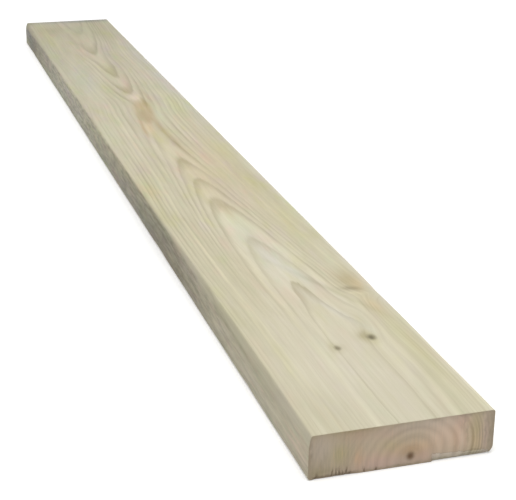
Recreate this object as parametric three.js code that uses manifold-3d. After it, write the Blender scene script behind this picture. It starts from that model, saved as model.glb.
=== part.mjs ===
// Sawn and planed softwood plank, one solid piece of timber.
// Units are millimetres. +X runs along the grain to the end with the broken lower edge,
// +Y across the face and +Z up. The origin is under the middle of the lower face.
import * as THREE from 'three';
import { mergeVertices, toCreasedNormals } from 'three/addons/utils/BufferGeometryUtils.js';
import Module from 'manifold-3d';

// Section and length of the stock.
const LENGTH = 2100;
const WIDTH = 200;
const THICKNESS = 50;

// Radii that the planer leaves on the four long arrises. The lower right one is worn wider.
const ARRIS_UPPER_LEFT = 4.5;
const ARRIS_UPPER_RIGHT = 3.5;
const ARRIS_LOWER_LEFT = 4;
const ARRIS_LOWER_RIGHT = 9.5;

// Flats that handling has rubbed along the upper left arris, deepest at their middle and running
// out to nothing: distance of the middle from the +X end, reach to each side of it, and how far
// the flat then spreads across the upper face and down the left side.
const WORN_FLATS = [
  { fromEnd: 230, reach: 480, across: 3.6, down: 11 },
  { fromEnd: LENGTH - 70, reach: 290, across: 4, down: 9 },
];

// Small bevel that handling leaves round both crosscut ends.
const END_BEVEL = 0.6;

// Splintered strip on the lower edge of the +X end, where the saw broke out of the cut.
const BREAKOUT_WIDTH = 63;
const BREAKOUT_HEIGHT = 5;
const BREAKOUT_DEPTH = 2;
const BREAKOUT_SLOPE_DEG = 4;
const BREAKOUT_INSET = 5;

const ARC_SEGMENTS = 8;
const FLAT_SEGMENTS = 24;
const CREASE_ANGLE_DEG = 25;
const CUT_OVERLAP = 2;

const wasm = await Module();
wasm.setup();

// Turns a shape drawn in (width, height) and extruded along its normal
// so that width lies along +Y, height along +Z and the extrusion along +X.
const ALONG_GRAIN = new THREE.Matrix4().makeBasis(
  new THREE.Vector3(0, 1, 0),
  new THREE.Vector3(0, 0, 1),
  new THREE.Vector3(1, 0, 0),
);

// Rectangle with a separate quarter round on each corner, standing on its lower side.
function sectionShape() {
  const half = WIDTH / 2;
  const shape = new THREE.Shape();
  shape.moveTo(-half + ARRIS_LOWER_LEFT, 0);
  shape.lineTo(half - ARRIS_LOWER_RIGHT, 0);
  shape.absarc(half - ARRIS_LOWER_RIGHT, ARRIS_LOWER_RIGHT, ARRIS_LOWER_RIGHT, -Math.PI / 2, 0);
  shape.lineTo(half, THICKNESS - ARRIS_UPPER_RIGHT);
  shape.absarc(half - ARRIS_UPPER_RIGHT, THICKNESS - ARRIS_UPPER_RIGHT, ARRIS_UPPER_RIGHT, 0, Math.PI / 2);
  shape.lineTo(-half + ARRIS_UPPER_LEFT, THICKNESS);
  shape.absarc(-half + ARRIS_UPPER_LEFT, THICKNESS - ARRIS_UPPER_LEFT, ARRIS_UPPER_LEFT, Math.PI / 2, Math.PI);
  shape.lineTo(-half, ARRIS_LOWER_LEFT);
  shape.absarc(-half + ARRIS_LOWER_LEFT, ARRIS_LOWER_LEFT, ARRIS_LOWER_LEFT, Math.PI, Math.PI * 1.5);
  return shape;
}

// The whole length of stock, centred on the origin along X, with both ends bevelled.
function stockGeometry() {
  const geometry = new THREE.ExtrudeGeometry(sectionShape(), {
    depth: LENGTH - 2 * END_BEVEL,
    curveSegments: ARC_SEGMENTS,
    bevelThickness: END_BEVEL,
    bevelSize: END_BEVEL,
    bevelOffset: -END_BEVEL,
    bevelSegments: 1,
  });
  geometry.translate(0, 0, END_BEVEL - LENGTH / 2);
  return geometry.applyMatrix4(ALONG_GRAIN);
}

// Disc segment whose long arc grazes the upper left arris along the grain. It is drawn with the
// unworn arris through the origin and the arc below it, and then turned to face out of the arris.
function flatGeometry({ fromEnd, reach, across, down }) {
  const depth = (across * down) / Math.hypot(across, down);
  const radius = (reach ** 2 + depth ** 2) / (2 * depth);
  const halfAngle = Math.acos((radius - depth - CUT_OVERLAP) / radius);
  const profile = new THREE.Shape();
  profile.absarc(0, radius - depth, radius, -Math.PI / 2 - halfAngle, -Math.PI / 2 + halfAngle);
  profile.closePath();
  const breadth = 2 * (across + down);
  const geometry = new THREE.ExtrudeGeometry(profile, {
    depth: breadth,
    bevelEnabled: false,
    curveSegments: FLAT_SEGMENTS,
  });
  geometry.translate(0, 0, -breadth / 2);
  geometry.rotateX(Math.PI / 2);
  geometry.rotateX(Math.atan2(down, across));
  geometry.translate(LENGTH / 2 - fromEnd, -WIDTH / 2, THICKNESS);
  return geometry;
}

// Wedge that takes the splintered strip away: a triangle along the grain, deepest at the lower
// face, run across the width and tilted so that the strip gets lower towards the right arris.
function breakoutGeometry() {
  const rise = BREAKOUT_HEIGHT / BREAKOUT_DEPTH;
  const profile = new THREE.Shape();
  profile.moveTo(-BREAKOUT_DEPTH - CUT_OVERLAP, -CUT_OVERLAP * rise);
  profile.lineTo(CUT_OVERLAP, -CUT_OVERLAP * rise);
  profile.lineTo(CUT_OVERLAP, BREAKOUT_HEIGHT + CUT_OVERLAP * rise);
  const geometry = new THREE.ExtrudeGeometry(profile, { depth: BREAKOUT_WIDTH, bevelEnabled: false });
  geometry.rotateX(Math.PI / 2);
  geometry.rotateX(THREE.MathUtils.degToRad(-BREAKOUT_SLOPE_DEG));
  const rightEnd = WIDTH / 2 - BREAKOUT_INSET;
  geometry.translate(LENGTH / 2, rightEnd, 0);
  return geometry;
}

function toSolid(geometry) {
  geometry.deleteAttribute('normal');
  geometry.deleteAttribute('uv');
  const merged = mergeVertices(geometry, 1e-5);
  return new wasm.Manifold(new wasm.Mesh({
    numProp: 3,
    vertProperties: new Float32Array(merged.attributes.position.array),
    triVerts: new Uint32Array(merged.index.array),
  }));
}

function toGeometry(solid) {
  const mesh = solid.getMesh();
  const geometry = new THREE.BufferGeometry();
  geometry.setAttribute('position', new THREE.BufferAttribute(mesh.vertProperties, mesh.numProp));
  geometry.setIndex(new THREE.BufferAttribute(mesh.triVerts, 1));
  return toCreasedNormals(geometry, THREE.MathUtils.degToRad(CREASE_ANGLE_DEG));
}

function makePlank() {
  const cuts = [breakoutGeometry(), ...WORN_FLATS.map(flatGeometry)];
  const solid = cuts.reduce((body, cut) => body.subtract(toSolid(cut)), toSolid(stockGeometry()));
  const material = new THREE.MeshStandardMaterial({ color: 0xd2c9a8, roughness: 0.72, metalness: 0 });
  const plank = new THREE.Mesh(toGeometry(solid), material);
  plank.name = 'plank';
  return plank;
}

const model = new THREE.Group();
model.add(makePlank());

export default model;
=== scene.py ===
import math

import bpy
import numpy as np
from mathutils import Matrix, Vector, noise
from mathutils.geometry import delaunay_2d_cdt


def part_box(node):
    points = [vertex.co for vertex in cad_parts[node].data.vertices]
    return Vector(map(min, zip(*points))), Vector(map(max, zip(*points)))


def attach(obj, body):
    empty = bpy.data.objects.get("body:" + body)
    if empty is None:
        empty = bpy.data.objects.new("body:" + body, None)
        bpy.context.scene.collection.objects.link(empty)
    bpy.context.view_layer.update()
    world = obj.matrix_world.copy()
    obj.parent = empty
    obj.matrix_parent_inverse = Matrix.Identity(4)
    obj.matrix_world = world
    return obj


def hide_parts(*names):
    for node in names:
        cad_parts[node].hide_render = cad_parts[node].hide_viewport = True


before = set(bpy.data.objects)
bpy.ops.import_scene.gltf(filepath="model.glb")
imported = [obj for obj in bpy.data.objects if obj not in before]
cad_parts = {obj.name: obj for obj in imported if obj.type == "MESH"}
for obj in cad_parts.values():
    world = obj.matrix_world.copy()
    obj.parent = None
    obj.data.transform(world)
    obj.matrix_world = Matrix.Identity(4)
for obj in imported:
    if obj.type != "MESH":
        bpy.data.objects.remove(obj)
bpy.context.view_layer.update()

# Sizes of the plank, in millimetres. Places on it are (along, across, up): along is the distance
# from the near end, across runs from the left edge to the right, and up is from the floor.
MM = 0.001
LOW, HIGH = (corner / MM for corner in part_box("plank"))
LENGTH, WIDTH, THICKNESS = HIGH - LOW
HALF_LENGTH = LENGTH / 2
HALF_WIDTH = WIDTH / 2

# The eased corners of the section: across, up, the angle at which the arc starts, and its radius.
# KNOCKS counts them in this order, from 0.
SECTION_CORNERS = (
    (-HALF_WIDTH, 0, 270, 4),
    (-HALF_WIDTH, THICKNESS, 180, 4.5),
    (HALF_WIDTH, THICKNESS, 90, 3.5),
    (HALF_WIDTH, 0, 0, 9.5),
)
ARC_POINTS = 9
# The flats between the corners: the way each faces, and its steps. They start at the middle of the
# lower face and go to the left, so that face comes first and last.
SECTION_FLATS = (((0, -1), 34), ((-1, 0), 30), ((0, 1), 118), ((1, 0), 30), ((0, -1), 34))

# How far the section is drawn in at the two ends, and how far along that reaches.
END_EASE, END_EASE_REACH = 0.5, 0.55

# Distances between cross-sections: the longest, the first, and those at the ends and at the knots,
# which grow by a share of the distance from there. KNOT_ZONE is half the stretch that the knots
# take, and LOOK_AHEAD is how far beyond a section the next step is measured.
LONGEST_STEP, FIRST_STEP, LOOK_AHEAD = 11, 0.15, 0.2
END_STEP, END_STEP_GROWTH = 0.5, 0.13
KNOT_STEP, KNOT_STEP_GROWTH, KNOT_ZONE = 1.8, 0.16, 20

# Flats rubbed along the upper left corner: along, reach to each side, spread across the face and
# down the side. WORN_SOFTNESS rounds their borders.
WORN_FLATS = ((230, 480, 3.6, 11), (LENGTH - 70, 290, 4, 9))
WORN_SOFTNESS = 2.2

# The strip that broke out of the near end's lower edge as the saw left the wood: where it lies
# across, its heights on the left and on the right, and its depth.
BROKEN_LEFT, BROKEN_RIGHT, BROKEN_HEIGHTS, BROKEN_DEPTH = 32, 95, (9.4, 5), 2
# The crushed stretch of that edge: where it comes in and goes out across, and its depth.
CRUSHED_LEFT, CRUSHED_RIGHT, CRUSH_DEPTH = (-97, -92), (-54, -46), 0.9
# How far the relief of an end pulls the faces behind it.
RELIEF_REACH = 14

# Fibres torn out of the lower edge: across, width, height, depth.
NEAR_TEARS = (
    (-90.8, 2.6, 10, 0.4), (-74.5, 1.7, 14, 0.5), (-70.5, 1.6, 14, 0.4), (-66.9, 1.8, 15, 0.5),
    (-63.2, 1.4, 7, 0.3), (-59.6, 2, 14, 0.6), (-55, 1.5, 7, 0.3), (-40.6, 1.6, 8, 0.4), (-28, 1.6, 6, 0.3),
)
FAR_TEARS = ((-62, 2.6, 9, 0.5), (-20, 2, 7, 0.4), (41, 2.8, 10, 0.6), (47.5, 1.8, 7, 0.4))

# Knocks along the four long edges: corner, along, half length, extra radius.
KNOCKS = (
    (1, 118, 16, 1.3), (1, 742, 22, 1), (1, 1324, 14, 1.8), (1, 1880, 26, 1.2), (2, 322, 18, 1.2),
    (2, 1015, 26, 1), (2, 1660, 18, 1.3), (0, 210, 24, 1.4), (0, 655, 40, 1.6), (0, 1460, 22, 1.2),
    (0, 1985, 30, 2), (3, 480, 30, 1.4), (3, 1240, 26, 1.6), (3, 1790, 34, 1.4),
)

# Pin knots in the upper face: along, across, half length, half width.
KNOTS = ((178, -4.5, 8.8, 5.8), (195, 42.2, 11.4, 7.6))
KNOT_DEPTH = 14
# Their relief. Places and breadths are shares of the knot.
RIM_HEIGHT, RIM_PLACE, RIM_BREADTH = 0.22, 0.75, 0.3
HOLLOW_DEPTH, HOLLOW_BREADTH = 0.25, 0.4

# How far the planed faces lie inside their planes, on the average.
MEAN_SWELL = -0.1

# Points that fill an end: their distance, the finer one along the lower edge, and the height up to
# which that goes. ROW_SHARE is the rows' distance as a share of the points'; their scatter and
# their distance from the rim are shares of the finer distance.
NEAR_FILL, FAR_FILL = (1.5, 0.85, 15), (1.9, 1.3, 12)
ROW_SHARE, SCATTER_SHARE, RIM_SHARE = 0.87, 0.12, 0.45
FILL_SEED = 3

# What the mesh says of each of its points: how far it belongs to a sawn end, is torn and is split.
FACTS = ("end_grain", "torn", "split")


# ---- camera ----
CAMERA_PLACE = Vector((2.0849, -0.4705, 0.6657))
CAMERA_AIM = Vector((0.5591, -0.0017, 0.05))
CAMERA_ROLL = math.radians(0.51)
CAMERA_LENS = 90.1


def add_object(name, data):
    made = bpy.data.objects.new(name, data)
    bpy.context.scene.collection.objects.link(made)
    return made


def make_camera():
    data = bpy.data.cameras.new("camera")
    data.lens = CAMERA_LENS
    data.sensor_width = 36
    data.sensor_fit = "HORIZONTAL"
    data.clip_end = 100
    camera = add_object("camera", data)
    forward = (CAMERA_AIM - CAMERA_PLACE).normalized()
    level_right = forward.cross(Vector((0, 0, 1))).normalized()
    level_up = level_right.cross(forward)
    right = level_right * math.cos(CAMERA_ROLL) + level_up * math.sin(CAMERA_ROLL)
    up = right.cross(forward)
    turn = Matrix((right, up, -forward)).transposed().to_4x4()
    camera.matrix_world = Matrix.Translation(CAMERA_PLACE) @ turn
    bpy.context.scene.camera = camera


# ---- nodes of a material ----
class Net:
    """Adds nodes to one tree. Each call takes numbers or outputs and returns the new node's output."""

    def __init__(self, tree):
        self.tree = tree

    def add(self, kind, feeds=(), **settings):
        node = self.tree.nodes.new("ShaderNode" + kind)
        for name, value in settings.items():
            setattr(node, name, value)
        for socket, value in feeds:
            if isinstance(value, bpy.types.NodeSocket):
                self.tree.links.new(value, node.inputs[socket])
            else:
                node.inputs[socket].default_value = value
        return node

    def math(self, operation, a, b=0, c=0):
        return self.add("Math", ((0, a), (1, b), (2, c)), operation=operation).outputs[0]

    def plus(self, a, b):
        return self.math("ADD", a, b)

    def times(self, a, b):
        return self.math("MULTIPLY", a, b)

    def vector(self, operation, a, b=(0, 0, 0), c=(0, 0, 0)):
        feeds = ((0, a), (1, b), (2, c))
        return self.add("VectorMath", feeds, operation=operation).outputs["Vector"]

    def dot(self, a, b):
        return self.add("VectorMath", ((0, a), (1, b)), operation="DOT_PRODUCT").outputs["Value"]

    def joined(self, x, y, z):
        return self.add("CombineXYZ", ((0, x), (1, y), (2, z))).outputs[0]

    def ramp(self, value, start, end, low=0, high=1, smooth=True):
        """low up to start and high from end on; start may lie above end."""
        feeds = ((0, value), (1, start), (2, end), (3, low), (4, high))
        kind = "SMOOTHSTEP" if smooth else "LINEAR"
        return self.add("MapRange", feeds, interpolation_type=kind).outputs[0]

    def curve(self, value, points):
        """A smooth curve through points whose two numbers lie from 0 to 1."""
        node = self.add("FloatCurve", ((1, value),))
        line = node.mapping.curves[0]
        for _ in points[2:]:
            line.points.new(0.5, 0.5)
        for point, place in zip(line.points, points):
            point.location = place
        node.mapping.update()
        return node.outputs[0]

    def noise(self, place, size, detail=2, rough=0.5, seed=0):
        """Noise from 0 to 1 whose blobs are about size long, across and up."""
        feeds = (("Vector", place), ("Scale", size))
        scaled = self.add("Mapping", feeds, vector_type="TEXTURE").outputs[0]
        feeds = (("Vector", scaled), ("W", seed), ("Scale", 1), ("Detail", detail), ("Roughness", rough))
        return self.add("TexNoise", feeds, noise_dimensions="4D").outputs[0]

    def swing(self, place, size, amount, detail=2, rough=0.5, seed=0):
        """Noise from about -amount to amount."""
        steady = self.plus(self.noise(place, size, detail, rough, seed), -0.5)
        return self.times(steady, 3 * amount)

    def spread(self, place, centre, reach, turn=0):
        """Distance from centre, 1 at reach, in a frame turned by so many degrees about the upright."""
        away = self.vector("SUBTRACT", place, centre)
        if turn:
            x, y = math.cos(math.radians(turn)), math.sin(math.radians(turn))
            axes = ((x, y, 0), (-y, x, 0), (0, 0, 1))
            away = self.joined(*(self.dot(away, axis) for axis in axes))
        away = self.vector("DIVIDE", away, reach)
        return self.add("VectorMath", ((0, away),), operation="LENGTH").outputs["Value"]

    def blob(self, place, centre, reach, turn=0, hard=2):
        """1 at centre, fading to a third at reach and to nothing beyond, faster if hard is more."""
        power = self.math("POWER", self.spread(place, centre, reach, turn), hard)
        return self.math("POWER", math.exp(-1), power)

    def mix(self, colour, share, other, how):
        feeds = [(0, share)]
        for socket, part in ((6, colour), (7, other)):
            feeds.append((socket, part if isinstance(part, bpy.types.NodeSocket) else (*part, 1)))
        return self.add("Mix", feeds, data_type="RGBA", blend_type=how).outputs[2]

    def tint(self, colour, share, by):
        """colour, multiplied by the colour by where share is 1."""
        return self.mix(colour, share, by, "MULTIPLY")

    def blend(self, colour, share, other):
        return self.mix(colour, share, other, "MIX")

    def sum(self, values):
        total = values[0]
        for value in values[1:]:
            total = self.plus(total, value)
        return total


# ---- light and floor ----
SKY_LEVEL = 0.42
LAMP_POWER = 48
LAMP_SIZE = (2.2, 1.6)
LAMP_PLACE = Vector((1.1, -0.1, 2.6))
LAMP_AIM = Vector((0.3, 0, 0))
FLOOR_HALF = 20
FLOOR_BOUNCE = 0.62
FLOOR_SEEN = 0.95
# White paper keeps the plank's soft shadow close to it and runs into the white wall further off:
# its middle, the distances between which its glow grows, and the glow at both.
PAPER_MIDDLE = (0.9, 0, 0)
PAPER_NEAR, PAPER_FAR = 0.55, 3
GLOW_NEAR, GLOW_FAR = 0.26, 0.62


def seen_directly(net):
    rays = net.add("LightPath")
    either = net.math("MAXIMUM", rays.outputs["Is Camera Ray"], rays.outputs["Is Glossy Ray"])
    return net.math("MAXIMUM", either, rays.outputs["Is Transmission Ray"])


def make_sky():
    world = bpy.data.worlds.new("sky")
    bpy.context.scene.world = world
    world.use_nodes = True
    net = Net(world.node_tree)
    background = world.node_tree.nodes["Background"]
    background.inputs["Color"].default_value = (1, 1, 1, 1)
    level = net.ramp(seen_directly(net), 0, 1, SKY_LEVEL, 1, smooth=False)
    world.node_tree.links.new(level, background.inputs["Strength"])


def make_lamp():
    data = bpy.data.lights.new("overhead", "AREA")
    data.shape = "RECTANGLE"
    data.size, data.size_y = LAMP_SIZE
    data.energy = LAMP_POWER
    lamp = add_object("overhead", data)
    lamp.location = LAMP_PLACE
    lamp.rotation_euler = (LAMP_AIM - LAMP_PLACE).to_track_quat("-Z", "Y").to_euler()


def make_floor():
    mesh = bpy.data.meshes.new("floor")
    signs = ((-1, -1), (1, -1), (1, 1), (-1, 1))
    mesh.from_pydata([(x * FLOOR_HALF, y * FLOOR_HALF, 0) for x, y in signs], [], [(0, 1, 2, 3)])
    material = bpy.data.materials.new("floor")
    material.use_nodes = True
    tree = material.node_tree
    tree.nodes.clear()
    net = Net(tree)
    seen = seen_directly(net)
    place = net.add("TexCoord").outputs["Object"]
    away = net.spread(place, PAPER_MIDDLE, (1, 1, 1))
    colour = net.blend((FLOOR_BOUNCE,) * 3, seen, (FLOOR_SEEN,) * 3)
    glow = net.ramp(away, PAPER_NEAR, PAPER_FAR, GLOW_NEAR, GLOW_FAR, smooth=False)
    lift = net.times(seen, glow)
    matt = net.add("BsdfDiffuse", (("Color", colour),)).outputs[0]
    light = net.add("Emission", (("Strength", lift),)).outputs[0]
    both = net.add("AddShader", ((0, matt), (1, light))).outputs[0]
    net.add("OutputMaterial", (("Surface", both),))
    mesh.materials.append(material)
    add_object("floor", mesh)


# ---- plank's mesh ----
def wander(amount, *place):
    """Smooth random swing of about amount at a place."""
    return amount * noise.noise(Vector((*place, 0, 0)[:3]))


def smooth(value, start, end):
    share = np.clip((value - start) / (end - start), 0, 1)
    return share * share * (3 - 2 * share)


def station_step(along):
    """Distance from one cross-section to the next, shorter at the ends and at the knots."""
    from_end = min(along, LENGTH - along)
    knots = (KNOTS[0][0] + KNOTS[1][0]) / 2
    from_knots = max(abs(along - knots) - KNOT_ZONE, 0)
    at_end = END_STEP + END_STEP_GROWTH * from_end
    at_knots = KNOT_STEP + KNOT_STEP_GROWTH * from_knots
    return min(LONGEST_STEP, at_end, at_knots)


def stations():
    """Distances of the cross-sections from the near end."""
    made = [0, FIRST_STEP]
    while made[-1] < LENGTH - END_STEP:
        made.append(made[-1] + station_step(made[-1] + LOOK_AHEAD))
    while made[-1] > LENGTH - 0.9 * END_STEP:
        made.pop()
    return made + [LENGTH - FIRST_STEP, LENGTH]


def corner_radius(corner, base, along):
    slow = wander(0.22, along / 90, 7 * corner)
    quick = wander(0.1, along / 17, 3 + 5 * corner)
    radius = base * (1 + slow + quick)
    for hit, place, reach, extra in KNOCKS:
        if hit == corner:
            radius += extra * math.exp(-(((along - place) / reach) ** 2) * 2)
    return radius


def corner_arcs(along):
    """The points of each corner's arc and their outward directions."""
    arcs = []
    for corner, (y, z, start, base) in enumerate(SECTION_CORNERS):
        radius = corner_radius(corner, base, along)
        middle = np.array((y - math.copysign(radius, y), z - math.copysign(radius, z - 1)))
        turn = np.radians(start - np.linspace(0, 90, ARC_POINTS))
        out = np.stack((np.cos(turn), np.sin(turn)), 1)
        arcs.append((middle + radius * out, out))
    return arcs


def worn(places, along):
    """The points of a cross-section, drawn in to the flats along the upper left corner."""
    for middle, reach, across, down in WORN_FLATS:
        span = math.hypot(across, down)
        way = np.array((-down, across)) / span
        cut = across * down / span * (1 - ((along - middle) / reach) ** 2) + wander(0.5, along / 33, 8)
        beyond = (places - (-HALF_WIDTH, THICKNESS)) @ way + cut
        places = places - np.outer((beyond + np.hypot(beyond, WORN_SOFTNESS)) / 2, way)
    return places


def outline(along, inset):
    """Points round one cross-section and their outward directions."""
    arcs = corner_arcs(along)
    middle = np.array((0, 0))
    starts = [middle] + [arc[0][-1] for arc in arcs]
    ends = [arc[0][0] for arc in arcs] + [middle]
    places, outs = [], []
    for i, (way, steps) in enumerate(SECTION_FLATS):
        first = 0 if i == 0 else 1
        share = np.linspace(0, 1, steps + 1)[first:-1, None]
        places.append(starts[i] + (ends[i] - starts[i]) * share)
        outs.append(np.tile(np.array(way, float), (len(share), 1)))
        if i < len(arcs):
            places.append(arcs[i][0])
            outs.append(arcs[i][1])
    places, outs = np.concatenate(places), np.concatenate(outs)
    return worn(places, along) - inset * outs, outs


def face_swell(along, y, z, out):
    """How far the planed surface lies from its plane: shallow undulation, and the knots' hard rims."""
    if out[1] < -0.5:
        return 0
    slow = wander(0.14, along / 210, y / 60, z / 60)
    quick = wander(0.05, along / 40, y / 14, z / 14)
    rise = slow + quick + MEAN_SWELL
    if z > THICKNESS - 1:
        for place, across, reach, breadth in KNOTS:
            away = math.hypot((along - place) / reach, (y - across) / breadth)
            rim = RIM_HEIGHT * math.exp(-(((away - RIM_PLACE) / RIM_BREADTH) ** 2))
            rise += rim - HOLLOW_DEPTH * math.exp(-((away / HOLLOW_BREADTH) ** 2))
    return rise


def torn_fibres(y, z, tears):
    """Depth at (y, z) of the fibres torn out of the lower edge, and how much of it is torn."""
    depth, torn = 0, 0
    for across, breadth, height, deep in tears:
        lean = across + 0.05 * z
        side = 1 - smooth(abs(y - lean), 0.25 * breadth, 0.7 * breadth)
        top = height * (0.85 + wander(0.5, y * 1.7, 4))
        share = float(side * (1 - smooth(z, 0.35 * top, top)))
        depth += deep * share
        torn = max(torn, share)
    return depth, torn


def crushed(y, z):
    """How much the near end's lower edge is crushed at (y, z)."""
    across = float(smooth(y, *CRUSHED_LEFT) * (1 - smooth(y, *CRUSHED_RIGHT)))
    return across * float(1 - smooth(z, 1.5, 4.5 + wander(2, y / 3, 9)))


def broken_out(y, z):
    """Depth of the broken strip at (y, z), or None beside it."""
    run = (y - BROKEN_LEFT) / (BROKEN_RIGHT - BROKEN_LEFT)
    if not 0 <= run <= 1:
        return None
    left, right = BROKEN_HEIGHTS
    height = left + (right - left) * run
    height += wander(1.6, y / 5, 2) + wander(0.5, y / 2.6, 6)
    if z >= height:
        return None
    return BROKEN_DEPTH * (1 - z / height) + 0.25 + wander(0.3, y / 9, z * 1.4)


def end_relief(y, z, tears, broken):
    """How deep the sawn end lies below its plane at (y, z), and how much of it is torn or split."""
    depth = 0.05 + wander(0.09, y / 1.9 + z / 40, z / 30) + wander(0.06, y / 7, z / 9)
    deeper, torn = torn_fibres(y, z, tears)
    depth += deeper
    split = 0
    if broken:
        crush = crushed(y, z)
        depth += CRUSH_DEPTH * crush
        torn = max(torn, 0.7 * crush)
        strip = broken_out(y, z)
        if strip is not None:
            depth += strip
            split = 1
    return depth, torn, split


def shell(rings, reliefs):
    """Points of all cross-sections. reliefs gives each end's relief function."""
    points = []
    for along in rings:
        from_end = min(along, LENGTH - along)
        inset = END_EASE * float(1 - smooth(from_end, 0, END_EASE_REACH))
        near = along < HALF_LENGTH
        places, outs = outline(along, inset)
        for (y, z), out in zip(places, outs):
            swell = face_swell(along, y, z, out)
            y2, z2 = y + swell * out[0], max(z + swell * out[1], 0)
            pull = 0
            if from_end < RELIEF_REACH:
                pull = reliefs[near](y, z)[0] * (1 - from_end / RELIEF_REACH)
            x = HALF_LENGTH - along - pull if near else HALF_LENGTH - along + pull
            points.append((x, y2, z2))
    return points


def fill_points(rim, step, fine_step, fine_height, seed):
    """Scattered points inside an end's outline, closer together up to fine_height."""
    rng = np.random.default_rng(seed)
    inner = []
    for low, high, gap in ((0, fine_height, fine_step), (fine_height, THICKNESS, step)):
        for row, z in enumerate(np.arange(low + gap / 2, high, gap * ROW_SHARE)):
            ys = np.arange(-HALF_WIDTH, HALF_WIDTH, gap) + (gap / 2 if row % 2 else 0)
            inner += [(y, z) for y in ys]
    inner = np.array(inner) + rng.uniform(-SCATTER_SHARE, SCATTER_SHARE, (len(inner), 2)) * fine_step
    nearest = np.min(np.hypot(*(inner[:, None, :] - rim[None, :, :]).transpose(2, 0, 1)), axis=1)
    across, up = np.abs(inner[:, 0]), inner[:, 1]
    inside = (across < HALF_WIDTH - END_EASE) & (up > END_EASE) & (up < THICKNESS - END_EASE)
    return inner[inside & (nearest > RIM_SHARE * fine_step)]


def end_cap(rim, fill, seed):
    """Inner points (y, z) of one end, and its triangles, whose numbers count the rim's points first."""
    rim = np.asarray(rim, float)
    inner = fill_points(rim, *fill, seed)
    everything = [Vector(p) for p in np.concatenate((rim, inner))]
    border = [(i, (i + 1) % len(rim)) for i in range(len(rim))]
    verts, _, faces, origin, _, _ = delaunay_2d_cdt(everything, border, [], 1, 1e-6)
    number = [group[0] if group else -1 for group in origin]
    triangles = [tuple(number[i] for i in face) for face in faces]
    used = {i for triangle in triangles for i in triangle}
    assert len(verts) == len(everything) and -1 not in used
    return inner, triangles


def perimeter_shares(ring):
    """Shares of the way round the section, one more than its points."""
    places = np.array(ring)[:, 1:]
    steps = np.hypot(*(np.roll(places, -1, 0) - places).T)
    total = np.concatenate(([0], np.cumsum(steps)))
    return total / total[-1]


# The UV map has the long faces below, the near end above them on the left and the far end on the right.
def shell_uv(along_share, round_share):
    return 0.01 + 0.98 * along_share, 0.01 + 0.78 * round_share


def end_uv(y, z, near):
    across = (y + HALF_WIDTH) / WIDTH
    return (0.01 if near else 0.52) + 0.47 * across, 0.81 + 0.18 * z / THICKNESS


def shell_faces(rings, points, count):
    """Faces between the cross-sections, of count points each, and their places in the UV map."""
    shares = perimeter_shares(points[count * (len(rings) // 2):][:count])
    faces, uvs = [], []
    for i in range(len(rings) - 1):
        near, far = rings[i] / LENGTH, rings[i + 1] / LENGTH
        for k in range(count):
            n = (k + 1) % count
            faces.append((i * count + k, i * count + n, (i + 1) * count + n, (i + 1) * count + k))
            left, right = shares[k], shares[k + 1]
            uvs += [shell_uv(near, left), shell_uv(near, right), shell_uv(far, right), shell_uv(far, left)]
    return faces, uvs


def close_end(near, first, count, points, facts, relief):
    """Adds the inner points and facts of the end whose rim starts at the point first, and gives its
    faces and their places in the UV map."""
    rim = [point[1:] for point in points[first:first + count]]
    inner, triangles = end_cap(rim, NEAR_FILL if near else FAR_FILL, FILL_SEED)
    start = len(points)
    for y, z in inner:
        depth, torn, split = relief(y, z)
        x = HALF_LENGTH - depth
        points.append((x if near else -x, y, z))
        facts.append((1, torn, split))
    for k in range(count):
        _, torn, split = relief(*rim[k])
        facts[first + k] = (1, torn, split)
    faces, uvs = [], []
    for triangle in triangles:
        numbers = [first + i if i < count else start + i - count for i in triangle]
        if not near:
            numbers.reverse()
        faces.append(tuple(numbers))
        uvs += [end_uv(points[i][1], points[i][2], near) for i in numbers]
    return faces, uvs


def make_plank():
    rings = stations()
    reliefs = {
        True: lambda y, z: end_relief(y, z, NEAR_TEARS, True),
        False: lambda y, z: end_relief(y, z, FAR_TEARS, False),
    }
    points = shell(rings, reliefs)
    count = len(points) // len(rings)
    facts = [(0.0, 0.0, 0.0)] * len(points)
    faces, uvs = shell_faces(rings, points, count)
    for near, first in ((True, 0), (False, (len(rings) - 1) * count)):
        more_faces, more_uvs = close_end(near, first, count, points, facts, reliefs[near])
        faces += more_faces
        uvs += more_uvs
    mesh = bpy.data.meshes.new("plank_wood")
    mesh.from_pydata([Vector(p) * MM for p in points], [], faces)
    mesh.validate()
    for name, values in zip(FACTS, zip(*facts)):
        mesh.attributes.new(name, "FLOAT", "POINT").data.foreach_set("value", list(values))
    layer = mesh.uv_layers.new(name="OFBake")
    layer.data.foreach_set("uv", np.array(uvs, np.float32).ravel())
    mesh.shade_smooth()
    mesh.set_sharp_from_angle(angle=math.radians(38))
    return add_object("plank_wood", mesh)


# ---- wood ----
# The pith runs below the upper face in a long bow: share of the length, and depth times
# RING_FLATNESS, in tenths of a metre.
PITH_DEPTH = (
    (0, 0.435), (0.071, 0.43), (0.119, 0.442), (0.143, 0.462), (0.179, 0.48), (0.219, 0.52), (0.26, 0.56),
    (0.339, 0.635), (0.39, 0.6775), (0.444, 0.715), (0.5, 0.738), (0.571, 0.748), (0.617, 0.735),
    (0.643, 0.715), (0.707, 0.6775), (0.81, 0.64), (0.919, 0.56), (1, 0.5),
)
# The rings' middle across the upper face: share of the length, and 0.5 for the plank's own middle
# and 0.01 more for each millimetre to the right.
PITH_ACROSS = (
    (0, 0.645), (0.071, 0.645), (0.124, 0.63), (0.179, 0.585), (0.219, 0.54), (0.26, 0.51), (0.31, 0.48),
    (0.39, 0.47), (0.5, 0.45), (0.571, 0.475), (0.617, 0.54), (0.665, 0.54), (0.762, 0.54), (0.81, 0.5),
    (0.881, 0.54), (1, 0.58),
)
# What 1 stands for in the second numbers of both.
CURVE_SPAN = 100
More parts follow.
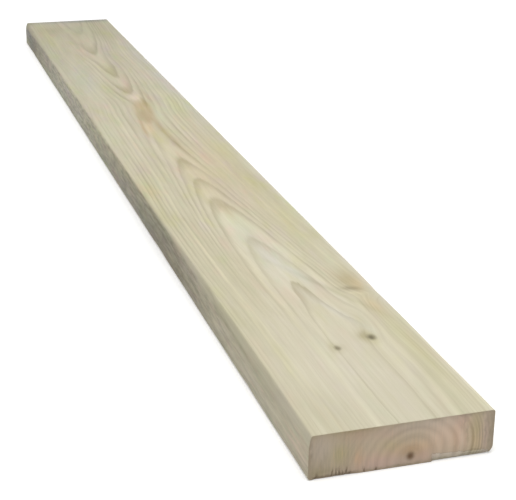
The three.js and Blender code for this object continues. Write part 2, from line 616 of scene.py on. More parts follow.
# That middle moves to the left with depth, by PITH_LEAN of it, and the rings are flatter than circles.
PITH_LEAN = 0.16
RING_FLATNESS = 1.0875
# The pith's place on the near end.
PITH_SPOT = (0, 8.5, 11)
# A reach so long that a distance doesn't count along the plank.
ANY_LENGTH = 1e6
# Places where the grain bends sideways: along, across, reach along, reach across, the bend.
BENDS = (
    (238, 50, 42, 16, 12), (292, 66, 40, 18, 9), (316, 104, 22, 28, 24), (90, 72, 150, 24, 8),
    (1265, 14, 55, 22, 4),
)
# Noises that bend the grain everywhere: size, amount.
WAVES, RIPPLES, FEATHER = ((170, 34, 34), 1.3), ((30, 7, 7), 0.5), ((22, 2.2, 2.2), 0.32)

# Distances from the pith at which the first and the young rings end and the old ones start, and
# the width of a ring in each stretch.
FIRST_RINGS, YOUNG_RINGS, OLD_RINGS = 48, 64, 79
FIRST_WIDTH, YOUNG_WIDTH, MIDDLE_WIDTH, OLD_WIDTH = 12, 8, 3.75, 5.2
# One of the first rings is wider still: distance from the pith, reach, extra width.
WIDE_RING = (26, 13, 2.7)
# How uneven the old rings are.
UNEVENNESS = 1.5
# The next two curves go by a ring's number times RING_STEP.
RING_STEP = 1 / 20
# Darkness of each ring's latewood.
RING_STRENGTH = (
    (0, 0.1), (0.05, 0.15), (0.1, 0.2), (0.15, 0.5), (0.2, 0.7), (0.25, 0.82), (0.3, 0.5), (0.35, 0.8),
    (0.4, 0.62), (0.45, 0.66), (0.5, 0.8), (0.55, 0.5), (0.6, 0.38), (0.7, 0.32), (0.8, 0.34), (1, 0.3),
)
# How far the latewood reaches into each ring, as a share of REACH_SPAN.
RING_REACH = (
    (0, 0.4), (0.2, 0.4), (0.25, 0.25), (0.3, 0.6), (0.35, 0.66), (0.4, 0.5), (0.45, 0.5), (0.5, 0.5),
    (1, 0.4),
)
REACH_SPAN = 5
# What the sawn ends add to that reach and to the softness of its border.
END_REACH, END_SOFTNESS = 2.2, 0.6
# Rings that stay paler than their neighbours: distance from the pith, reach, strength.
PALE_RINGS = ((59.5, 2.2, 1), (90, 1.8, 1), (97, 1.2, 0.5))
# Quiet places in the upper face, where the rings hardly show: along, across, reach along and
# across, strength. Where that is below 0 they show more. They go QUIET_DEPTH deep.
QUIET_DEPTH = 20
QUIET = (
    (800, 66, 200, 34, 0.8), (520, 76, 230, 30, 0.9), (830, 48, 150, 20, 0.8), (100, 70, 180, 36, 0.9),
    (290, 88, 60, 22, 0.85), (180, -66, 300, 34, 0.85), (330, -42, 200, 14, 0.7), (110, -34, 230, 22, 0.8),
    (1500, 62, 200, 30, 0.35), (650, -82, 330, 24, -0.6), (1105, -31, 60, 7, 0.8),
    (1150, -38, 130, 14, -0.9), (1055, 36, 110, 12, -0.9), (750, -30, 160, 24, 0.25),
    (790, 14, 130, 14, 0.35), (1340, -74, 210, 24, 0.85), (740, 62, 190, 24, 0.5), (1215, 2, 105, 22, 0.95),
    (1080, -4, 80, 14, 0.8), (1690, -46, 170, 20, 0.8), (960, -26, 130, 10, 0.6), (1550, -60, 200, 34, 0.8),
    (1640, 36, 150, 16, 0.6), (1860, -20, 130, 14, 0.75), (1930, -50, 200, 40, 0.8),
    (1900, 66, 220, 30, 0.45),
)

EARLYWOOD = (0.701, 0.648, 0.4925)
SAWN_WOOD = (0.715, 0.59, 0.43)
LATEWOOD = (0.6, 0.57, 0.46)
SAWN_LATEWOOD = (0.66, 0.62, 0.57)
KNOT_WOOD = (0.165, 0.142, 0.075)
PITH_WOOD = (0.195, 0.115, 0.06)

# Tones that a colour is multiplied by. First those of the grain, the edges and the ends.
CLOUDY = (0.94, 0.94, 0.93)
BANDED = (0.94, 0.935, 0.915)
STREAKED = (0.945, 0.94, 0.92)
FIBROUS = (0.955, 0.95, 0.93)
AFTER_LATEWOOD = (1.05, 1.05, 1.05)
PALE_RING = (1.06, 1.06, 1.05)
KNOT_HALO = (0.8, 0.77, 0.66)
WORN_EDGE_AND_HIGHLIGHT = (1.07, 1.06, 1.07)
GRIMY = (0.68, 0.67, 0.66)
RUBBED = (1.13, 1.13, 1.13)
GREEN_BLOOM = (0.95, 1, 0.97)
PINK_BLOOM = (1.03, 0.96, 1)
SAW_SHADE = (0.88, 0.88, 0.87)
SAW_LIGHT = (1.1, 1.04, 0.97)
TORN_WOOD_AND_SHADE = (0.62, 0.58, 0.56)
SPLIT_WOOD = (1.2, 1.31, 1.44)
SPLIT_STEP_SHADOW = (0.8, 0.79, 0.77)

# Then those of the marks.
WHITE = (1, 1, 1)
AMBER = (0.98, 0.86, 0.7)
BROWN = (0.8, 0.74, 0.62)
OLIVE = (0.97, 0.99, 0.84)
GREEN = (0.95, 1.01, 0.97)
PINK = (1.04, 0.96, 0.98)
COOL = (1.01, 1.03, 1.12)
LILAC = (0.99, 0.96, 1.06)
PALE = (1.08, 1.08, 1.07)
DULL = (0.9, 0.91, 0.87)
GREY = (0.66, 0.66, 0.66)
SLATE = (0.66, 0.7, 0.86)
MOSS = (0.79, 0.8, 0.7)
KNOT_SHADE = (0.79, 0.77, 0.68)
SMOKE = (0.7, 0.71, 0.7)
BLUE_EDGE = (0.74, 0.78, 0.9)
STRAW = (1, 1, 0.93)
SHADE = (0.62, 0.6, 0.56)
PEACH = (1.17, 1.12, 1.15)
ORANGE = (1.04, 0.93, 0.83)
RUST = (0.88, 0.79, 0.68)
BLUSH = (1.09, 1.01, 1.03)
TAN = (0.85, 0.75, 0.62)
# A painted highlight along the right edge.
RIGHT_EDGE_HIGHLIGHT = (1.16, 1.17, 1.22)

# Stains and tones of the upper face, which drift with the grain: colour, along, across, reach
# along, across and down, strength, and a turn in degrees where there is one.
STAINS_AND_EDGE_HIGHLIGHT = (
    (DULL, 520, -74, 420, 36, 20, 0.75), (DULL, 520, 80, 420, 34, 20, 0.75),
    (DULL, 1960, 0, 110, 120, 20, 0.9), (DULL, 770, 42, 70, 30, 20, 0.45), (LILAC, 725, 28, 50, 16, 14, 0.8),
    (PALE, 590, -14, 60, 16, 14, 0.6), (PALE, 1600, -18, 150, 22, 14, 0.9), (DULL, 20, -60, 70, 44, 20, 0.6),
    (DULL, 50, 66, 110, 16, 20, 0.7), (DULL, 270, -78, 120, 24, 20, 0.5), (DULL, 420, 56, 110, 16, 20, 0.5),
    (DULL, 1790, -80, 120, 26, 20, 0.5), (DULL, 1800, -6, 60, 16, 14, 0.8), (PALE, 430, 10, 70, 14, 14, 0.6),
    (PALE, 990, -8, 50, 15, 14, 1), (PALE, 1950, -10, 50, 26, 14, 0.7), (GREEN, 1240, 56, 110, 34, 14, 0.8),
    (PALE, 1250, 50, 110, 36, 14, 0.8), (AMBER, 860, 58, 250, 26, 20, 0.3),
    (AMBER, 830, 8, 190, 30, 20, 0.42), (BROWN, 905, -4, 32, 8, 14, 0.3), (BROWN, 668, 0, 30, 9, 14, 0.5),
    (BROWN, 400, -44, 90, 12, 14, 0.22, 5), (COOL, 450, 8, 80, 24, 14, 1), (COOL, 575, -8, 70, 24, 14, 0.6),
    # The first mark on the next line, cool and along the right edge, is a painted highlight.
    (COOL, 480, 97, 600, 5, 14, 0.6), (GREEN, 590, 4, 60, 16, 14, 1), (COOL, 100, -10, 150, 60, 20, 0.45),
    (PINK, 905, 38, 60, 12, 14, 0.8), (OLIVE, 155, 80, 110, 10, 16, 0.8), (OLIVE, 560, 66, 50, 14, 16, 0.6),
    (OLIVE, 950, 76, 60, 14, 16, 1), (OLIVE, 770, 74, 50, 10, 16, 0.9), (OLIVE, 620, 78, 50, 12, 16, 0.7),
    (OLIVE, 770, -86, 60, 14, 16, 1), (OLIVE, 1250, 70, 90, 14, 16, 0.9),
    (OLIVE, 1400, -30, 50, 14, 16, 0.9), (OLIVE, 1560, 4, 60, 10, 14, 1), (OLIVE, 1680, 40, 60, 9, 14, 0.9),
    (OLIVE, 1930, -70, 120, 16, 14, 0.9), (OLIVE, 1930, 62, 60, 12, 14, 0.9),
    (GREEN, 1090, -88, 70, 14, 14, 0.9), (GREEN, 1480, -66, 120, 24, 14, 1),
    (GREEN, 1740, -88, 130, 12, 14, 1), (GREEN, 1990, 10, 40, 30, 14, 0.9),
    (COOL, 1510, -55, 130, 30, 14, 0.6), (LILAC, 1730, 30, 100, 12, 14, 1), (LILAC, 1260, 48, 60, 6, 14, 1),
    (PINK, 1460, 14, 60, 10, 14, 1, 6), (PINK, 1800, -20, 120, 22, 14, 0.6),
    # The two cool marks on the next line are a painted highlight along the right edge.
    (COOL, 1550, 92, 330, 14, 14, 0.9), (COOL, 1450, 90, 480, 14, 14, 0.7),
)
# The brown patch in the grain, which has clearer borders.
PATCHES = (
    (TAN, 1226, 2, 82, 18, 14, 0.5, 7), (TAN, 1188, -1, 48, 17, 14, 0.6, 7),
    (TAN, 1262, 17, 58, 7, 14, 0.55, 3),
)
PATCH_HARDNESS = 5
# Marks that stay nearly where they are put.
MARKS = (
    (ORANGE, 1262, 2, 34, 12, 14, 0.8, 6), (ORANGE, 1110, -12, 40, 8, 14, 1, 5),
    (PALE, 1106, -11, 40, 8, 14, 0.9, 5), (PALE, 1048, -6, 44, 9, 14, 1, 3),
    (PALE, 1052, 20, 60, 4, 14, 0.8, -2), (RUST, 1125, -21, 84, 3, 14, 0.8, 4.6),
    (RUST, 1098, -23, 40, 3.6, 14, 0.5, 4.6), (BROWN, 1045, 11, 115, 5, 14, 0.7, -3),
    (BROWN, 1128, 9, 46, 6, 14, 0.8, 2), (PALE, 1205, -24, 50, 4, 14, 0.8, 5),
    (BROWN, 1320, 30, 80, 4, 14, 0.6, 1), (GREEN, 1190, 24, 60, 6, 14, 1, 4),
    (PALE, 1190, 24, 60, 6, 14, 0.9, 4), (PALE, 1325, 8, 26, 22, 14, 0.9),
    (BLUSH, 1330, 10, 34, 12, 14, 0.9, 12), (RUST, 1388, 3, 34, 9, 14, 0.6, 4),
    (BROWN, 362, 75, 34, 13, 16, 0.9, 8), (ORANGE, 344, 83, 22, 8, 16, 0.8, 8),
    (SHADE, 334, 71, 13, 6.5, 14, 0.85, 108), (PALE, 319, 69, 13, 4, 14, 1, 105),
    (ORANGE, 280, 78, 30, 9, 14, 0.7), (MOSS, 345, 42, 100, 4.5, 14, 0.6, -22),
    (PALE, 350, 54, 90, 5, 14, 0.7, -22), (DULL, 440, 18, 60, 5, 14, 0.7, -14),
    (PALE, 410, -25, 80, 4, 14, 0.8, 4), (PALE, 310, -71, 230, 2.6, 14, 1),
    (KNOT_SHADE, 201, 34, 13, 7, 14, 0.95, 10), (MOSS, 184, -9, 12, 4, 14, 0.5),
    (BLUE_EDGE, 2096, 0, 24, 130, 14, 0.9), (BLUE_EDGE, 2098, 50, 20, 50, 14, 0.9),
    (MOSS, 2088, -98, 26, 16, 14, 0.9), (BROWN, 2000, -48, 40, 30, 14, 0.35),
    (DULL, 2040, 66, 50, 40, 14, 0.7), (MOSS, 2092, 62, 26, 46, 14, 0.5),
    # The last mark on the next line is a painted highlight along the whole right edge.
    (COOL, 270, 30, 60, 6, 14, 1, -18), (COOL, 400, 22, 80, 10, 14, 1, -16), (RIGHT_EDGE_HIGHLIGHT, 1000, 102, 3000, 6, 8, 1),
    # The mark on the next line is painted shade along the upper left edge, over the rubbed flat.
    (DULL, 230, -99, 300, 4, 8, 0.9),
)
# Marks of the left side, which drift too: colour, along, up, reach along and up, strength.
SIDE_MARKS = (
    (SMOKE, 180, 7, 330, 2.6, 0.6), (SMOKE, 420, 46, 230, 8, 0.4), (GREY, 1900, 44, 100, 8, 0.45),
    (DULL, 240, 46, 170, 8, 1), (SHADE, 800, 20, 34, 9, 0.4), (SHADE, 715, 14, 30, 8, 0.4),
    (GREY, 730, 12, 250, 55, 0.65), (SMOKE, 600, 26, 120, 40, 0.9), (DULL, 800, 34, 150, 20, 0.9),
    (BROWN, 600, 6, 170, 22, 0.6), (GREY, 960, 14, 170, 30, 0.45), (DULL, 1100, 18, 80, 26, 0.9),
    (GREY, 460, 20, 90, 40, 0.35), (DULL, 250, 42, 110, 10, 1), (PALE, 30, 24, 80, 18, 0.9),
    (PINK, 15, 24, 30, 18, 1), (BROWN, 255, 46, 95, 7, 0.7), (DULL, 620, 40, 260, 12, 0.7),
    (COOL, 760, 14, 120, 22, 0.9), (SLATE, 1050, 12, 300, 6, 0.3), (SLATE, 600, 9, 330, 3, 0.4),
    # The last two marks on the next line are a painted pale, cool glow of the white floor along the lower
    # edge.
    (PALE, 1420, 44, 70, 7, 0.9), (PALE, 1000, 0, 3000, 4.5, 1), (COOL, 1000, 0, 3000, 5, 1),
    (GREY, 1950, 48, 170, 9, 0.65), (SLATE, 1990, 16, 60, 12, 0.65), (COOL, 1470, 25, 330, 60, 1),
    (STRAW, 1000, 45, 700, 8, 1), (GREEN, 1500, 8, 500, 14, 0.8), (BROWN, 1945, 10, 44, 16, 0.7),
    (GREY, 1965, 20, 100, 40, 0.75), (SMOKE, 1960, 34, 80, 24, 0.6), (SLATE, 2050, 32, 55, 20, 0.9),
    (GREY, 1780, 12, 120, 24, 0.45), (SHADE, 1320, 46, 10, 3, 0.6),
)
# Marks of the near end: colour, across, up, reach across and up, strength.
END_MARKS = (
    (PEACH, 48, 28, 24, 22, 1), (PEACH, -22, 14, 30, 14, 0.3), (PEACH, 42, 30, 16, 14, 0.5),
    (ORANGE, 12, 20, 20, 8, 0.7), (ORANGE, 7, 18, 7, 5, 0.3), (ORANGE, 57, 22, 5, 14, 0.35),
    (BROWN, 12, 16, 19, 9, 0.35), (PINK, 23, 9, 10, 8, 1), (PINK, -28, 12, 24, 10, 1),
    # The last mark on the next line is painted shade along the lower edge.
    (LILAC, -14, 6, 46, 8, 0.9), (PINK, -18, 40, 14, 7, 0.8), (MOSS, -6, 1, 42, 1.8, 0.7),
    (ORANGE, -47, 18, 4.5, 13, 0.7), (PEACH, -46.5, 18, 4, 12, 0.2), (PINK, 63, 42, 9, 10, 1),
    (OLIVE, 79, 26, 7, 32, 1), (LILAC, 90, 22, 4, 24, 1), (OLIVE, -14, 26, 12, 8, 0.7),
    (GREY, -101, 30, 15, 60, 0.4), (COOL, -86, 32, 14, 18, 0.9), (DULL, -74, 16, 22, 18, 0.7),
    # The last mark on the next line is painted shade along the upper edge.
    (BROWN, -48, 47, 34, 7, 0.5), (COOL, 10, 46, 60, 8, 0.9), (MOSS, -30, 52, 90, 6, 0.6),
    # On the next line the first mark is painted shade along the upper edge and the last along the lower edge.
    (GREY, 74, 51, 44, 4, 0.85), (GREY, 101, 26, 6.5, 60, 1), (GREY, 0, -1, 140, 4, 0.7),
    (PALE, 87.5, 36, 1.8, 11, 1), (PALE, 71.6, 36, 1.3, 9, 0.9), (DULL, -60, 26, 18, 28, 0.6),
    # The last mark on the next line is painted shade along the upper edge.
    (OLIVE, -67, 25, 8, 10, 1), (PINK, -48, 42, 12, 8, 0.8), (MOSS, -60, 51, 40, 3.5, 0.8),
    # The last mark on the next line and the shade marks of the three lines after it are painted shade in the
    # torn fibres.
    (SHADE, -98.6, 32, 2.4, 28, 0.6), (MOSS, -92, 7, 9, 9, 0.6), (SHADE, -74.6, 4, 0.8, 6, 0.8),
    (SHADE, -70.5, 4, 0.7, 7, 0.7), (SHADE, -66.9, 4, 0.8, 7, 0.8), (SHADE, -63.2, 2, 0.6, 4, 0.7),
    (SHADE, -59.6, 4, 0.9, 7, 0.9), (SHADE, -55, 1, 0.7, 4, 0.7), (SHADE, -40.6, 2, 0.8, 5, 0.8),
    (SHADE, -28, 2, 0.8, 4, 0.7), (PEACH, 61, 22, 5, 11, 0.9), (PEACH, 68, 20, 2.6, 10, 0.9),
    (PEACH, 80, 17, 8, 9, 0.9), (PALE, 22, 19, 6, 8, 0.8), (MOSS, -84, 7.5, 9, 5, 0.7),
    (SHADE, -87, 16, 1.2, 6, 0.4), (SHADE, 65.5, 41, 1.6, 5, 0.4), (SHADE, 70, 33, 1.3, 5, 0.3),
    (SHADE, 90, 24, 1.5, 10, 0.4), (SHADE, 92, 40, 1.4, 7, 0.35), (SHADE, 95.5, 26, 1.4, 14, 0.3),
    # The next line is painted shade: the first mark under the broken strip's step, the other two along the
    # lower edge.
    (SHADE, 80, 7, 9, 0.8, 0.5), (SHADE, 80, 2, 16, 1.4, 0.5), (MOSS, 48, 1.5, 17, 1.6, 0.7),
)
# How deep the marks of the left side and of the near end go.
MARK_DEPTH = 60

# How marks, pith and knots drift: size of the noise, amounts along, across and up, and seeds.
# MARKS and PATCHES drift by a share of what the stains and edge highlight of the upper face do.
STAIN_DRIFT = ((60, 12, 12), (22, 4, 0), (21, 22, 0))
MARK_DRIFT_SHARE = (0.15, 0.3, 0)
SIDE_DRIFT = ((50, 9, 6), (40, 0, 6), (23, 0, 24))
END_DRIFT = ((40, 9, 9), (0, 3, 2.5), (0, 31, 32))
PITH_DRIFT = ((6, 2, 2), (0, 0.5, 0), (0, 36, 0))
KNOT_DRIFT = ((9, 4, 4), (1.2, 0.6, 0), (3, 6, 0))

# Distances from a knot, as shares of it, at which its dark wood and the wood round it start and
# are full, and its turn in degrees.
KNOT_CORE, KNOT_ROUND, KNOT_TURN = (1.05, 0.1), (2.3, 0.6), 6

# Where the left side's wood starts across the upper left corner, and where it is full.
SIDE_START = (-98.2, -99.5)
# Distances from a long face at which the edges' bare wood and painted highlight start and are full.
WEAR_AND_HIGHLIGHT_FROM, WEAR_AND_HIGHLIGHT_FULL = 6, 1.5

SPECULAR = 0.35
ROUGHNESS = 0.66
# What the streaks, the latewood, the sawn ends and the knots add to it.
STREAK_ROUGH, LATEWOOD_ROUGH, END_ROUGH, KNOT_ROUGH = 0.16, -0.08, 0.16, -0.1
# Heights of the fine relief, and the distance between the planer's marks.
LATEWOOD_RISE, FIBRE_RISE, PLANER_RISE, PLANER_PITCH = 0.05, 0.06, 0.002, 3.4
SAW_RISE, FUZZ_RISE, SPLIT_RISE = 0.3, 0.12, 0.7


def apart(net, place):
    """The three parts of a place."""
    return net.add("SeparateXYZ", ((0, place),)).outputs


def drift(net, place, size, amounts, seeds, detail=2):
    """A shift that varies from place to place, by about amounts along, across and up."""
    return net.joined(*(
        net.swing(place, size, amount, detail, seed=seed) if amount else 0
        for amount, seed in zip(amounts, seeds)
    ))


def ring_field(net, place, along, across, up):
    """Distance from the pith along the bent grain, in millimetres, and the place in that bent grain."""
    share = net.times(along, 1 / LENGTH)
    depth = net.times(net.curve(share, PITH_DEPTH), CURVE_SPAN)
    middle = net.times(net.plus(net.curve(share, PITH_ACROSS), -0.5), CURVE_SPAN)
    flat = net.joined(along, across, 0)
    bends = [
        net.times(net.blob(flat, (u, y, 0), (reach, breadth, 1)), amount)
        for u, y, reach, breadth, amount in BENDS
    ]
    waves = net.swing(place, *WAVES, seed=2)
    ripples = net.swing(place, *RIPPLES, seed=5)
    lean = net.times(net.math("SUBTRACT", THICKNESS, up), PITH_LEAN)
    offset = net.sum([across, lean, net.times(net.sum(bends + [middle, waves, ripples]), -1)])
    drop = net.plus(depth, net.times(net.plus(up, -THICKNESS), RING_FLATNESS))
    squares = net.plus(net.times(offset, offset), net.times(drop, drop))
    feather = net.swing(place, *FEATHER, detail=3, seed=9)
    radius = net.plus(net.math("SQRT", squares), feather)
    return radius, net.joined(along, offset, drop)


def at_distance(net, radius, centre, reach):
    """1 at a distance from the pith, fading to nothing beyond reach."""
    return net.blob(net.joined(radius, 0, 0), (centre, 0, 0), (reach, 1, 1))


def ring_number(net, radius):
    """Number of the ring at a distance from the pith, where it starts at about 2."""
    centre, reach, extra = WIDE_RING
    radius = net.plus(radius, net.times(at_distance(net, radius, centre, reach), -extra))
    first = net.math("MAXIMUM", net.math("SUBTRACT", FIRST_RINGS, radius), 0)
    first = net.times(first, 1 / YOUNG_WIDTH - 1 / FIRST_WIDTH)
    uneven = net.swing(net.joined(radius, 0, 0), (9, 1, 1), UNEVENNESS, detail=1, seed=27)
    radius = net.plus(radius, net.times(uneven, net.ramp(radius, OLD_RINGS - 1, OLD_RINGS + 6)))
    middle = net.math("MAXIMUM", net.plus(radius, -YOUNG_RINGS), 0)
    middle = net.times(middle, 1 / MIDDLE_WIDTH - 1 / YOUNG_WIDTH)
    old = net.math("MAXIMUM", net.plus(radius, -OLD_RINGS), 0)
    old = net.times(old, 1 / OLD_WIDTH - 1 / MIDDLE_WIDTH)
    return net.sum([net.times(radius, 1 / YOUNG_WIDTH), first, middle, old])


def latewood_band(net, whole, part, width, end):
    """Latewood at a part of a ring: steep at its outer border, fading inwards, broader on the ends."""
    inward = net.times(net.math("SUBTRACT", 1, part), width)
    reach = net.times(net.curve(net.times(whole, RING_STEP), RING_REACH), REACH_SPAN)
    reach = net.plus(reach, net.times(end, END_REACH))
    soft = net.plus(net.times(reach, 0.3), net.times(end, END_SOFTNESS))
    depth = net.math("SUBTRACT", 1, net.math("DIVIDE", inward, reach))
    depth = net.math("MAXIMUM", depth, 0)
    band = net.times(net.math("POWER", depth, 1.15), net.ramp(inward, 0, soft))
    swell = net.math("COSINE", net.times(net.plus(part, -0.85), 2 * math.pi))
    broad = net.times(net.plus(net.times(swell, 0.5), 0.5), net.times(end, 0.8))
    return net.plus(net.times(band, net.ramp(end, 0, 1, 1, 0.4)), broad)


def ring_strength(net, place, grain, whole):
    """Darkness of a ring, which comes and goes along the grain and is less in the quiet places."""
    strength = net.curve(net.times(whole, RING_STEP), RING_STRENGTH)
    along = net.times(apart(net, grain)[0], 1 / 230)
    fade = net.noise(net.joined(along, net.times(whole, 3.7), 0), (1, 1, 1), detail=1, seed=4)
    strength = net.times(strength, net.ramp(fade, 0.3, 0.7, 0.45, 1.45, smooth=False))
    far = net.ramp(apart(net, place)[0], 1300, 1900, 1.12, 0.98)
    return net.times(strength, net.times(far, ring_loudness(net, place)))


def ring_loudness(net, place):
    """1 outside the quiet places, less in them and more where their strength is below 0."""
    loud = None
    for along, across, reach, breadth, strength in QUIET:
        quiet = net.blob(place, (along, across, THICKNESS), (reach, breadth, QUIET_DEPTH))
        kept = net.math("SUBTRACT", 1, net.times(quiet, strength))
        loud = kept if loud is None else net.times(loud, kept)
    return loud


def growth_rings(net, place, radius, grain, end):
    """Shares of latewood, of the pale wood that follows it and of the pale rings."""
    number = ring_number(net, radius)
    whole = net.math("FLOOR", number)
    part = net.math("SUBTRACT", number, whole)
    young = net.ramp(radius, YOUNG_RINGS - 0.01, YOUNG_RINGS, 1, 0, smooth=False)
    width = net.plus(MIDDLE_WIDTH, net.times(young, YOUNG_WIDTH - MIDDLE_WIDTH))
    band = latewood_band(net, whole, part, width, end)
    follow = net.ramp(net.times(part, width), 3, 0.2)
    strength = ring_strength(net, place, grain, whole)
    pale = net.sum([
        net.times(at_distance(net, radius, centre, breadth), amount)
        for centre, breadth, amount in PALE_RINGS
    ])
    return net.times(band, strength), net.times(follow, strength), pale


def knots(net, place):
    """Shares of the pin knots' dark wood and of the darker wood round them."""
    flow = net.vector("ADD", place, drift(net, place, *KNOT_DRIFT))
    core, halo = [], []
    for along, across, reach, breadth in KNOTS:
        centre = (along, across, THICKNESS)
        distance = net.spread(flow, centre, (reach, breadth, KNOT_DEPTH), turn=KNOT_TURN)
        size = reach / KNOTS[1][2]
        core.append(net.times(net.ramp(distance, *KNOT_CORE), size))
        halo.append(net.ramp(distance, *KNOT_ROUND))
    return net.sum(core), net.math("MINIMUM", net.sum(halo), 1)


def on_top(marks):
    """Marks of the upper face in the form that stains() takes: colour, place, reach, turn, strength."""
    return [
        (by, (along, across, THICKNESS), (reach, breadth, depth), sum(turn), strength)
        for by, along, across, reach, breadth, depth, strength, *turn in marks
    ]


def on_side(marks):
    """The same for marks of the left side."""
    return [
        (by, (along, -HALF_WIDTH, up), (reach, MARK_DEPTH, height), 0, strength)
        for by, along, up, reach, height, strength in marks
    ]


def on_end(marks):
    """The same for marks of the near end."""
    return [
        (by, (0, across, up), (MARK_DEPTH, breadth, height), 0, strength)
        for by, across, up, breadth, height, strength in marks
    ]


def stain_and_painted_light_tone(net, place, marks, hard=2):
    """The tone that a list of marks gives to white."""
    tone = WHITE
    for by, centre, reach, turn, strength in marks:
        tone = net.tint(tone, net.times(net.blob(place, centre, reach, turn, hard), strength), by)
    return tone


def face_colour(net, place, grain):
    """Planed softwood: streaks, fibres and drifting tones, which are plainer towards the near end."""
    streak = net.noise(grain, (150, 3.4, 3.4), detail=4, rough=0.6, seed=1)
    broad = net.noise(grain, (330, 9, 9), detail=2, rough=0.5, seed=17)
    fibre = net.noise(grain, (34, 0.55, 0.55), detail=3, rough=0.6, seed=8)
    cloud = net.noise(place, (120, 30, 30), detail=3, seed=12)
    first = net.noise(place, (100, 26, 26), detail=2, rough=0.6, seed=15)
    second = net.noise(place, (75, 18, 18), detail=2, rough=0.6, seed=18)
    lively = net.ramp(apart(net, place)[0], 150, 750, 0.45, 1)
    colour = EARLYWOOD
    for hue, above, below in ((first, OLIVE, PINK), (second, GREEN, LILAC)):
        colour = net.tint(colour, net.ramp(hue, 0.52, 0.74, 0, lively), above)
        colour = net.tint(colour, net.ramp(hue, 0.48, 0.26, 0, lively), below)
    colour = net.tint(colour, net.ramp(cloud, 0.35, 0.7), CLOUDY)
    colour = net.tint(colour, net.ramp(broad, 0.35, 0.68), BANDED)
    streaky = net.ramp(apart(net, place)[0], 1200, 1800, 1, 0.5)
    colour = net.tint(colour, net.ramp(streak, 0.35, 0.7, 0, streaky), STREAKED)
    colour = net.tint(colour, net.ramp(fibre, 0.3, 0.75), FIBROUS)
    return colour, streak, fibre


def with_stains_and_painted_light(net, colour, place, upper, side):
    """colour with the marks of the upper face and of the left side, some of them painted light and shade."""
    shift = drift(net, place, *STAIN_DRIFT)
    drifted = net.vector("ADD", place, shift)
    colour = net.tint(colour, upper, stain_and_painted_light_tone(net, drifted, on_top(STAINS_AND_EDGE_HIGHLIGHT)))
    steadier = net.vector("ADD", place, net.vector("MULTIPLY", shift, MARK_DRIFT_SHARE))
    colour = net.tint(colour, upper, stain_and_painted_light_tone(net, steadier, on_top(MARKS)))
    colour = net.tint(colour, upper, stain_and_painted_light_tone(net, steadier, on_top(PATCHES), hard=PATCH_HARDNESS))
    drifted = net.vector("ADD", place, drift(net, place, *SIDE_DRIFT, detail=4))
    return net.tint(colour, side, stain_and_painted_light_tone(net, drifted, on_side(SIDE_MARKS)))


def dirtied(net, colour, place, along, side):
    """colour with the left side's grime, the places rubbed clean in it and its drifting hues."""
    grime = net.noise(place, (40, 9, 5.5), detail=4, rough=0.75, seed=25)
    dirty = net.times(side, net.ramp(along, 150, 550, 0.3, 1))
    colour = net.tint(colour, net.times(dirty, net.ramp(grime, 0.44, 0.62)), GRIMY)
    colour = net.tint(colour, net.times(dirty, net.ramp(grime, 0.46, 0.34)), RUBBED)
    bloom = net.noise(place, (36, 12, 7), detail=3, rough=0.6, seed=26)
    colour = net.tint(colour, net.times(side, net.ramp(bloom, 0.52, 0.7)), GREEN_BLOOM)
    return net.tint(colour, net.times(side, net.ramp(bloom, 0.48, 0.3)), PINK_BLOOM)


def wood_colour(net, place, grain, rings, end, torn, split):
    """The colour of every face, with the streaks, fibres and knots that the relief needs too."""
    latewood, follow, pale = rings
    colour, streak, fibre = face_colour(net, place, grain)
    planed = net.math("SUBTRACT", 1, end)
    parts = apart(net, place)
    side = net.times(net.ramp(parts[1], *SIDE_START), planed)
    upper = net.math("SUBTRACT", planed, side)
    colour = with_stains_and_painted_light(net, colour, place, upper, side)
    colour = dirtied(net, colour, place, parts[0], side)
    colour = net.tint(colour, net.times(follow, 0.6), AFTER_LATEWOOD)
    colour = net.tint(colour, net.times(pale, planed), PALE_RING)
    colour = net.tint(colour, latewood, LATEWOOD)
    # Lighter long edges: bare wood with a painted highlight.
    colour = net.tint(colour, worn_and_highlit_edges(net, parts, streak), WORN_EDGE_AND_HIGHLIGHT)
    colour = end_colour(net, colour, place, latewood, end, torn)
    # A painted shadow along the broken strip's border, under its step.
    border = net.times(net.times(split, net.math("SUBTRACT", 1, split)), 4)
    colour = net.tint(colour, split, SPLIT_WOOD)
    colour = net.tint(colour, border, SPLIT_STEP_SHADOW)
    core, halo = knots(net, place)
    colour = net.tint(colour, net.times(halo, 0.4), KNOT_HALO)
    return net.blend(colour, core, KNOT_WOOD), streak, fibre, core


def worn_and_highlit_edges(net, parts, streak):
    """Share of bare wood, rubbed more in some places, and of painted highlight on the four long edges."""
    sideways = net.math("ABSOLUTE", parts[1])
    across = net.ramp(sideways, HALF_WIDTH - WEAR_AND_HIGHLIGHT_FROM, HALF_WIDTH - WEAR_AND_HIGHLIGHT_FULL)
    upwards = net.math("ABSOLUTE", net.plus(parts[2], -THICKNESS / 2))
    up = net.ramp(upwards, THICKNESS / 2 - WEAR_AND_HIGHLIGHT_FROM, THICKNESS / 2 - WEAR_AND_HIGHLIGHT_FULL)
    return net.times(net.times(across, up), net.ramp(streak, 0.35, 0.6))


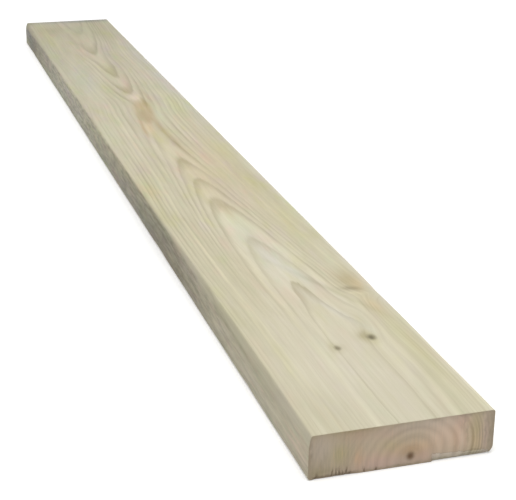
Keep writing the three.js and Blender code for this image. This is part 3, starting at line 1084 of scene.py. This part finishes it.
def end_colour(net, colour, place, latewood, end, torn):
    """The sawn end's darker, redder wood with its pith, marks and painted shade at edges and tears."""
    drifted = net.vector("ADD", place, drift(net, place, *END_DRIFT))
    sawn = net.tint(SAWN_WOOD, 1, stain_and_painted_light_tone(net, drifted, on_end(END_MARKS)))
    left = net.blob(place, (0, -68, 18), (80, 26, 24))
    near_pith = net.ramp(net.spread(place, PITH_SPOT, (ANY_LENGTH, 1, 1)), 14, 44, 0.7, 0.42)
    right = net.times(net.blob(place, (0, 76, 30), (80, 26, 34), hard=3), 0.62)
    near_pith = net.plus(near_pith, right)
    rings = net.times(latewood, net.times(near_pith, net.ramp(left, 0, 1, 1, 0.4)))
    sawn = net.tint(sawn, rings, SAWN_LATEWOOD)
    streaks = net.noise(place, (40, 2.2, 34), detail=3, rough=0.6, seed=34)
    loud = net.ramp(left, 0, 1, 0.45, 1.3)
    sawn = net.tint(sawn, net.times(loud, net.ramp(streaks, 0.42, 0.7)), SAW_SHADE)
    sawn = net.tint(sawn, net.times(loud, net.ramp(streaks, 0.46, 0.25)), SAW_LIGHT)
    # Torn and crushed wood: its own darker colour, with painted shade in the tears and along the crushed
    # lower edge.
    sawn = net.tint(sawn, torn, TORN_WOOD_AND_SHADE)
    colour = net.blend(colour, end, sawn)
    spot = net.vector("ADD", place, drift(net, place, *PITH_DRIFT))
    pith = net.blob(spot, PITH_SPOT, (60, 4.5, 4.9), hard=2.6)
    return net.blend(colour, net.times(net.times(pith, end), 0.95), PITH_WOOD)


def wood_bump(net, place, latewood, fibre, end, split):
    """Fine relief, in millimetres: latewood stands proud, fibres and planer ripple; saw marks on the ends."""
    ripple = net.math("SINE", net.times(apart(net, place)[0], 2 * math.pi / PLANER_PITCH))
    planed = net.sum([
        net.times(latewood, LATEWOOD_RISE), net.times(fibre, FIBRE_RISE),
        net.times(ripple, PLANER_RISE),
    ])
    saw = net.noise(place, (40, 0.8, 14), detail=3, rough=0.7, seed=41)
    fuzz = net.noise(place, (1.2, 0.6, 0.6), detail=2, seed=43)
    sawn = net.plus(net.times(saw, SAW_RISE), net.times(fuzz, FUZZ_RISE))
    torn = net.noise(place, (3, 9, 0.9), detail=3, rough=0.65, seed=44)
    height = net.plus(planed, net.times(end, net.math("SUBTRACT", sawn, planed)))
    height = net.plus(height, net.times(split, net.times(torn, SPLIT_RISE)))
    return net.add("Bump", (("Height", height), ("Distance", MM), ("Strength", 1))).outputs[0]


def make_wood():
    material = bpy.data.materials.new("softwood")
    material.use_nodes = True
    tree = material.node_tree
    net = Net(tree)
    shader = tree.nodes["Principled BSDF"]
    shader.inputs["Specular IOR Level"].default_value = SPECULAR
    spot = net.add("TexCoord").outputs["Object"]
    place = net.vector("MULTIPLY_ADD", spot, (-1 / MM, 1 / MM, 1 / MM), (HALF_LENGTH, 0, 0))
    facts = [net.add("Attribute", attribute_name=name) for name in FACTS]
    end, torn, split = (node.outputs["Fac"] for node in facts)
    radius, grain = ring_field(net, place, *apart(net, place))
    rings = growth_rings(net, place, radius, grain, end)
    colour, streak, fibre, core = wood_colour(net, place, grain, rings, end, torn, split)
    tree.links.new(colour, shader.inputs["Base Color"])
    rough = net.sum([
        ROUGHNESS, net.times(net.plus(streak, -0.5), STREAK_ROUGH), net.times(rings[0], LATEWOOD_ROUGH),
        net.times(end, END_ROUGH), net.times(core, KNOT_ROUGH),
    ])
    tree.links.new(rough, shader.inputs["Roughness"])
    tree.links.new(wood_bump(net, place, rings[0], fibre, end, split), shader.inputs["Normal"])
    return material


# ---- the scene ----
bpy.context.scene.view_settings.view_transform = "Standard"
make_camera()
make_sky()
make_lamp()
make_floor()
plank = make_plank()
plank.data.materials.append(make_wood())
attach(plank, "root")
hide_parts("plank")
